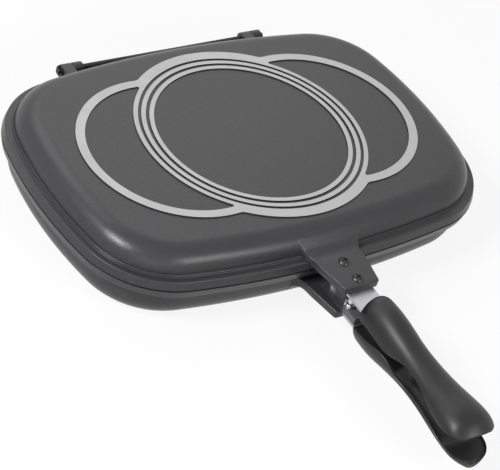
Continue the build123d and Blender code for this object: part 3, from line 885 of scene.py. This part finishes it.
@dataclass
class Handle:
    """A moulded handle: one closed skin round a trough with waved lips and a solid core."""

    side: Side
    start_y: float
    mid_z: float
    stations: Array
    edge: Array
    tip_round: float
    tip_wall: float
    spring: float = 4.0 * MM
    wall: float = 2.6 * MM
    core: float = 47.0 * MM
    ramp: float = 1.6 * MM
    tip_fill: float = 0.0
    tip_radius: float = 3.0 * MM
    tip_narrow: float = 0.1
    nose: float = 8.0 * MM
    nose_inset: float = 3.6 * MM
    nose_drop: float = 4.8 * MM
    heel: float = 6.0 * MM
    heel_rise: float = 3.0 * MM
    lip_round: float = 0.8 * MM
    lip_clearance: float = 1.2 * MM
    wall_limit: float = 0.75
    thin_from: float = 0.6
    fill_from: float = 0.74
    fill_over: float = 0.16
    columns: int = 56
    rows: int = 128
    end_rows: int = 12
    sharp_angle: float = 50.0

    def place(self, grid: Array) -> Array:
        """Puts points of the handle's own frame, heights from its parting, on the pan."""
        return grid * np.array([1, 1, self.side.value]) + np.array([0, 0, self.mid_z])

    def distances(self) -> Array:
        """Places of the sections: close together at both ends and at the core's end."""
        length = float(self.stations[-1, 0])
        turn = np.linspace(0, pi / 2, self.end_rows)
        near = self.nose * (1 - np.cos(turn))
        tip = length - self.wall / 2 + self.wall / 2 * np.sin(turn)
        run = np.linspace(self.nose, length - self.wall / 2, self.rows)[1:-1]
        step = np.linspace(self.core - self.ramp, self.core + self.ramp, self.end_rows)
        return np.sort(np.concatenate([near, run, step, tip]))

    def skin(self) -> bpy.types.Object:
        """The handle's skin: sections of an outer and an inner line joined by round lips.

        Outer: x = half breadth * cos(turn) and z = spring + (crown - spring) * sin(turn),
        with upright sides below the spring; turn starts where the height is the lip's.
        Inner: the outer line moved inwards by the wall, or the lip's flat level where the
        core is. At the tip both lines close on the middle of the wall along a half circle;
        at the near end breadth, crown and lip follow quarter ellipses.
        """
        distance = self.distances()
        length = distance[-1]
        keep = self.stations[:, 0] >= self.nose
        knots = self.stations[keep]
        held = np.maximum(distance, self.nose)
        half = spline_through(knots[:, 0], knots[:, 1], held)
        crown = spline_through(knots[:, 0], knots[:, 2], held)
        lip = spline_through(self.edge[:, 0], self.edge[:, 1], distance)
        nose = 1 - np.sqrt(1 - np.clip(1 - distance / self.nose, 0, 1) ** 2)
        heel = 1 - np.sqrt(1 - np.clip(1 - distance / self.heel, 0, 1) ** 2)
        half -= self.nose_inset * nose
        left = np.clip((distance - length + self.tip_radius) / self.tip_radius, 0, 1)
        half *= np.sqrt(1 - self.tip_narrow * left**3)
        crown -= self.nose_drop * nose
        lifted = lip + self.heel_rise * heel + self.lip_round
        lip = np.minimum(lifted, crown - self.lip_clearance)
        tall = (crown - self.spring)[:, None]
        level = ((lip - self.spring)[:, None]) / tall
        start = np.where(level < 0, level, np.arcsin(np.clip(level, 0, 1)))
        share = np.linspace(0, 1, self.columns)[None, :]
        turn = start + (pi - 2 * start) * share
        held_turn = np.clip(turn, 0, pi)
        rise = np.sin(held_turn) + np.minimum(turn, 0) + np.minimum(pi - turn, 0)
        outer = np.stack([half[:, None] * np.cos(held_turn), self.spring + tall * rise], axis=-1)
        normal = np.stack([np.cos(held_turn) / half[:, None], np.sin(held_turn) / tall], axis=-1)
        normal /= np.linalg.norm(normal, axis=-1, keepdims=True)
        thin_span = (1 - self.thin_from) * length
        thin = np.clip((distance - self.thin_from * length) / thin_span, 0, 1)
        wall = self.wall + (self.tip_wall - self.wall) * thin
        thick = np.minimum(wall, self.wall_limit * (crown - lip))[:, None, None]
        inner = outer - normal * thick
        base = np.stack(
            [
                (half[:, None] - self.wall) * np.cos(pi * share) * np.ones_like(turn),
                np.broadcast_to(lip[:, None], turn.shape),
            ],
            axis=-1,
        )
        gone = np.clip((distance - self.core) / (2 * self.ramp), 0, 1)
        back = np.clip((distance - self.fill_from * length) / (self.fill_over * length), 0, 1)
        solid = 1 - smooth_step(gone) + self.tip_fill * smooth_step(back)
        solid = solid[:, None, None]
        inner = inner * (1 - solid) + base * solid
        close = np.clip((distance - length + self.wall / 2) / (self.wall / 2), 0, 1)
        shut = (1 - np.sqrt(1 - close**2))[:, None, None]
        middle = (outer + inner) / 2
        outer = outer + (middle - outer) * shut
        inner = inner + (middle - inner) * shut
        drop = (1 - shut[..., 0]) * self.lip_round
        far_lip = self.lip(outer[:, -1], inner[:, -1], drop)
        near_lip = self.lip(inner[:, 0], outer[:, 0], drop)
        section = np.concatenate([outer, far_lip, inner[:, ::-1], near_lip], axis=1)
        sag = self.tip_round * (distance / length)[:, None] ** 6
        widest = np.max(np.abs(section[..., 0]))
        y = self.start_y - distance[:, None] + sag * (section[..., 0] / widest) ** 2
        grid = np.stack([section[..., 0], y, section[..., 1]], axis=-1)
        mesh = SurfaceMesh(f"{self.side.label}_handle_skin")
        mesh.add_grid(self.place(grid))
        return mesh.build(self.sharp_angle)

    def lip(self, first: Array, last: Array, depth: Array) -> Array:
        """Half ellipses, below the lip, from one line of points to another.

        Args:
            first: Where each half ellipse starts, (rows, 2).
            last: Where it ends, (rows, 2).
            depth: How far it reaches down, (rows, 1).

        Returns:
            The points between, (rows, 7, 2).
        """
        turn = np.linspace(0, pi, 9)[1:-1][None, :, None]
        middle = ((first + last) / 2)[:, None]
        reach = ((first - last) / 2)[:, None]
        down = np.array([0.0, -1.0]) * depth[:, :, None]
        return middle + reach * np.cos(turn) + down * np.sin(turn)


# ---------------------------------------------------------------- studio


@dataclass(frozen=True)
class StudioCamera:
    """Camera placed round a target by its angles."""

    target: tuple[float, float, float] = (-43.461 * MM, -77.538 * MM, 37.4 * MM)
    azimuth: float = -44.247
    elevation: float = 39.586
    roll: float = 18.077
    distance: float = 1453.275 * MM
    lens: float = 143.766
    sensor: float = 36.0
    clip_start: float = 0.05
    clip_end: float = 20.0

    def create(self) -> None:
        """Makes the camera: level axes from the two angles, then turned by the roll."""
        turn = radians(self.azimuth)
        lift = radians(self.elevation)
        lean = radians(self.roll)
        back = Vector((sin(turn) * cos(lift), -cos(turn) * cos(lift), sin(lift)))
        level = Vector((cos(turn), sin(turn), 0.0))
        upright = back.cross(level)
        right = level * cos(lean) + upright * sin(lean)
        up = upright * cos(lean) - level * sin(lean)
        data = bpy.data.cameras.new("studio_camera")
        data.lens = self.lens
        data.sensor_width = self.sensor
        data.sensor_fit = "HORIZONTAL"
        data.clip_start = self.clip_start
        data.clip_end = self.clip_end
        camera = bpy.data.objects.new("studio_camera", data)
        bpy.context.scene.collection.objects.link(camera)
        place = Vector(self.target) + back * self.distance
        axes = Matrix((right, up, back)).transposed().to_4x4()
        camera.matrix_world = Matrix.Translation(place) @ axes
        bpy.context.scene.camera = camera


@dataclass(frozen=True)
class SoftBox:
    """An area lamp that looks at a point."""

    name: str
    place: tuple[float, float, float]
    size: tuple[float, float]
    power: float
    aim: tuple[float, float, float] = (0.0, -0.02, 0.04)

    def create(self) -> None:
        """Makes the lamp."""
        data = bpy.data.lights.new(self.name, "AREA")
        data.shape = "RECTANGLE"
        data.size, data.size_y = self.size
        data.energy = self.power
        lamp = bpy.data.objects.new(self.name, data)
        bpy.context.scene.collection.objects.link(lamp)
        lamp.location = self.place
        direction = Vector(self.aim) - Vector(self.place)
        lamp.rotation_euler = direction.to_track_quat("-Z", "Y").to_euler()


@dataclass(frozen=True)
class Studio:
    """Pale floor, plain world and soft lamps."""

    floor_size: float = 8.0
    floor_tone: float = 0.9
    ambient: float = 0.12
    shadow_share: float = 0.12
    lamps: tuple[SoftBox, ...] = (
        SoftBox("left", (-1.54, 0.0, 1.35), (0.7, 0.44), 35.0, (-0.15, -0.07, 0.05)),
        SoftBox("back", (0.77, 1.33, 1.29), (1.1, 0.9), 3.2),
        SoftBox("back_top", (-0.3, 1.5, 1.8), (1.2, 0.9), 8.0),
        SoftBox("low_front", (0.4, -1.8, 1.0), (0.8, 0.46), 14.5),
        SoftBox("fill", (-1.2, -1.7, 0.6), (1.8, 0.8), 5.8),
    )

    def bright_rays(self, sheet: NodeSheet) -> bpy.types.NodeSocket:
        """1 for camera, glossy and transmission rays, else 0."""
        path = sheet.node("ShaderNodeLightPath").outputs
        seen = sheet.math("MAXIMUM", path["Is Camera Ray"], path["Is Glossy Ray"])
        return sheet.math("MAXIMUM", seen, path["Is Transmission Ray"])

    def create(self) -> None:
        """Makes world, floor and lamps."""
        world = bpy.data.worlds.new("studio")
        world.use_nodes = True
        sheet = NodeSheet(world.node_tree)
        plain = sheet.node("ShaderNodeBackground", {0: grey(1.0), 1: self.ambient})
        white = sheet.node("ShaderNodeBackground", {0: grey(1.0), 1: 1.0})
        both = sheet.node(
            "ShaderNodeMixShader",
            {0: self.bright_rays(sheet), 1: plain.outputs[0], 2: white.outputs[0]},
        )
        sheet.node("ShaderNodeOutputWorld", {"Surface": both.outputs[0]})
        bpy.context.scene.world = world
        self.floor()
        for lamp in self.lamps:
            lamp.create()

    def floor(self) -> None:
        """Makes the floor: pale and matt, mostly self-lit to the rays that see it."""
        reach = self.floor_size / 2
        corner = np.array([[-1, -1, 0], [1, -1, 0], [1, 1, 0], [-1, 1, 0]]) * reach
        mesh = bpy.data.meshes.new("floor")
        mesh.from_pydata(corner.tolist(), [], [(0, 1, 2, 3)])
        plane = bpy.data.objects.new("floor", mesh)
        bpy.context.scene.collection.objects.link(plane)
        material = bpy.data.materials.new("pale_floor")
        material.use_nodes = True
        sheet = NodeSheet(material.node_tree)
        matt = sheet.node("ShaderNodeBsdfDiffuse", {0: grey(self.floor_tone)})
        glow = sheet.node("ShaderNodeEmission", {0: grey(1.0), 1: 1.0})
        share = sheet.math("MULTIPLY", self.bright_rays(sheet), 1 - self.shadow_share)
        both = sheet.node(
            "ShaderNodeMixShader", {0: share, 1: matt.outputs[0], 2: glow.outputs[0]}
        )
        sheet.node("ShaderNodeOutputMaterial", {"Surface": both.outputs[0]})
        mesh.materials.append(material)


# ---------------------------------------------------------------- assembly


@dataclass
class FlipPan:
    """The whole pan: builds the pieces of both halves and dresses the nodes that stay."""

    effects: Effects = field(default_factory=Effects)
    knuckle_gap: float = 0.8 * MM
    upper_knuckle: float = 9.6 * MM
    lower_knuckle: float = 8.2 * MM
    upper_tab_height: float = 5.1 * MM
    lower_tab_height: float = 11.65 * MM
    handle_drop: float = 3.2 * MM
    seal_inset: float = 5.0 * MM

    def __post_init__(self) -> None:
        """Reads the overall sizes from the frame and makes the finishes."""
        low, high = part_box("rim_seal")
        length = high[0] - low[0] + 2 * self.seal_inset
        width = high[1] - low[1] + 2 * self.seal_inset
        self.outline = RimOutline(float(length), float(width))
        self.part_z = float(low[2])
        self.lower_crest = float(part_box("lower_ridges")[0][2])
        ridge_low, ridge_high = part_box("upper_ridges")
        self.upper_crest = float(ridge_high[2])
        ridge = float(ridge_high[2] - ridge_low[2])
        self.upper_depth = self.upper_crest - ridge - self.part_z
        self.lower_depth = self.part_z - self.lower_crest - ridge
        coat = SprayedCoat("coated_cast", 0.03, 0.33, specular=0.38, tint=1.08)
        crest = TurnedCrest("bare_aluminium", 0.42, 0.56, metallic=1.0, crest=self.upper_crest)
        under = TurnedCrest("bare_aluminium", 0.42, 0.56, metallic=1.0, crest=self.lower_crest)
        steel = BrushedMetal("bright_steel", 0.48, 0.36, metallic=1.0)
        black = BrushedMetal("black_screw", 0.03, 0.32, metallic=0.4)
        rod = BrushedMetal("dark_steel", 0.02, 0.4, metallic=0.5)
        zinc = BrushedMetal("bright_steel", 0.3, 0.48, metallic=1.0)
        nickel = BrushedMetal("plated_magnet", 0.5, 0.3, metallic=1.0, streak=0.04)
        plating = BrushedMetal("plated_magnet", 0.7, 0.42, metallic=1.0, streak=0.04)
        phenolic = Moulded("black_phenolic", 0.006, 0.36, specular=0.4, tint=1.1)
        holder = Moulded("grey_holder", 0.1, 0.45, specular=0.3)
        silicone = Moulded("black_silicone", 0.012, 0.6, specular=0.3)
        finishes = {
            "sprayed_coat": coat,
            "turned_crest_upper": crest,
            "turned_crest_lower": under,
            "brushed_steel": steel,
            "dull_zinc": zinc,
            "dull_nickel": nickel,
            "black_oxide": black,
            "blackened_rod": rod,
            "bright_plating": plating,
            "glossy_phenolic": phenolic,
            "grey_moulding": holder,
            "matt_silicone": silicone,
        }
        self.slots = {name: finish.slot for name, finish in finishes.items()}
        self.materials = {
            name: finish.material(name, self.effects) for name, finish in finishes.items()
        }

    def dress(self, piece: bpy.types.Object, side: Side, finish: str, *nodes: str) -> None:
        """Gives a new piece its material and its body, and hides the nodes that it stands for."""
        piece.data.materials.clear()
        piece.data.materials.append(self.materials[finish])
        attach(piece, side.label)
        if nodes:
            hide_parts(*nodes)
        LOG.info("piece %s: %d points, %s", piece.name, len(piece.data.vertices), finish)

    def repaint(self, node: str, finish: str) -> None:
        """Gives a CAD node its procedural material."""
        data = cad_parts[node].data
        data.materials.clear()
        data.materials.append(self.materials[finish])
        LOG.info("node %s: %s", node, finish)

    def build_pans(self) -> None:
        """Builds both castings."""
        shift = (self.upper_knuckle + self.lower_knuckle) / 2 + self.knuckle_gap
        upper = PanHalf(
            Side.UPPER,
            self.outline,
            self.part_z,
            self.upper_depth,
            self.upper_tab_height,
            self.upper_knuckle,
            knuckle_shift=0.0,
        )
        lower = PanHalf(
            Side.LOWER,
            self.outline,
            self.part_z,
            self.lower_depth,
            self.lower_tab_height,
            self.lower_knuckle,
            knuckle_shift=shift,
            tab_meet_angle=12.0,
            tab_slope_limit=1.0,
        )
        for half in (upper, lower):
            for build in (half.shell, half.tab, half.knuckles):
                self.dress(build(), half.side, "sprayed_coat", f"{half.side.label}_pan")
        self.repaint("upper_ridges", "turned_crest_upper")
        self.repaint("lower_ridges", "turned_crest_lower")

    def build_handles(self) -> None:
        """Builds both handles from the stations along their lengths."""
        start_y = float(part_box("upper_handle")[1][1])
        mid_z = self.part_z - self.handle_drop
        upper = Handle(
            Side.UPPER,
            start_y,
            mid_z,
            stations=in_mm(
                (0.0, 10.4, 17.6),
                (2.5, 12.9, 20.7),
                (8.0, 14.0, 22.4),
                (18.0, 14.2, 22.6),
                (32.0, 13.9, 21.0),
                (47.0, 13.0, 18.4),
                (68.0, 13.6, 16.4),
                (85.0, 15.4, 16.2),
                (102.0, 18.0, 17.2),
                (116.0, 19.4, 17.8),
                (124.0, 19.2, 15.2),
                (130.5, 17.6, 9.8),
            ),
            edge=in_mm(
                (-3.0, 2.2),
                (18.0, 3.0),
                (38.0, 1.4),
                (54.0, 6.6),
                (70.0, 7.6),
                (93.0, 3.8),
                (110.0, 2.9),
                (126.0, 6.2),
                (136.0, 9.6),
            ),
            tip_round=4.5 * MM,
            tip_wall=2.4 * MM,
        )
        lower = Handle(
            Side.LOWER,
            start_y,
            mid_z,
            stations=in_mm(
                (0.0, 12.0, 16.8),
                (2.5, 14.7, 19.9),
                (8.0, 16.0, 21.6),
                (18.0, 16.2, 21.8),
                (32.0, 15.3, 20.0),
                (47.0, 14.0, 17.8),
                (68.0, 14.0, 16.0),
                (85.0, 15.6, 16.2),
                (102.0, 17.8, 17.4),
                (120.0, 18.8, 19.0),
                (135.0, 17.6, 19.6),
            ),
            edge=in_mm(
                (-3.0, 5.0),
                (18.0, 3.8),
                (40.0, 1.4),
                (52.0, 6.2),
                (66.0, 8.0),
                (98.0, 6.2),
                (116.0, 8.6),
                (128.0, 9.9),
                (140.0, 10.6),
            ),
            tip_round=3.0 * MM,
            tip_wall=1.6 * MM,
            ramp=6.0 * MM,
            tip_fill=0.8,
            tip_radius=14.0 * MM,
            tip_narrow=0.75,
        )
        for handle in (upper, lower):
            node = f"{handle.side.label}_handle"
            self.dress(handle.skin(), handle.side, "glossy_phenolic", node)

    def dress_fittings(self) -> None:
        """Gives the small fittings their finishes."""
        for side in ("upper", "lower"):
            self.repaint(f"{side}_strap", "brushed_steel")
            self.repaint(f"{side}_strap_screws", "black_oxide")
            self.repaint(f"{side}_strap_washers", "dull_zinc")
            self.repaint(f"{side}_strap_nuts", "dull_zinc")
            self.repaint(f"{side}_handle_screw", "dull_zinc")
        single = {
            "magnet_holder_screw": "dull_zinc",
            "magnet_holder": "grey_moulding",
            "latch_magnets": "dull_nickel",
            "latch_studs": "bright_plating",
            "rim_seal": "matt_silicone",
            "hinge_rod": "blackened_rod",
            "hinge_clips": "blackened_rod",
            "hinge_washers": "blackened_rod",
        }
        for node, finish in single.items():
            self.repaint(node, finish)


def main() -> None:
    """Builds the studio and the pan, and reports each piece."""
    logging.basicConfig(level=logging.INFO, format="%(name)s: %(message)s")
    bpy.context.scene.view_settings.view_transform = "Standard"
    StudioCamera().create()
    Studio().create()
    pan = FlipPan()
    pan.build_pans()
    pan.build_handles()
    pan.dress_fittings()


if __name__ == "__main__":
    main()
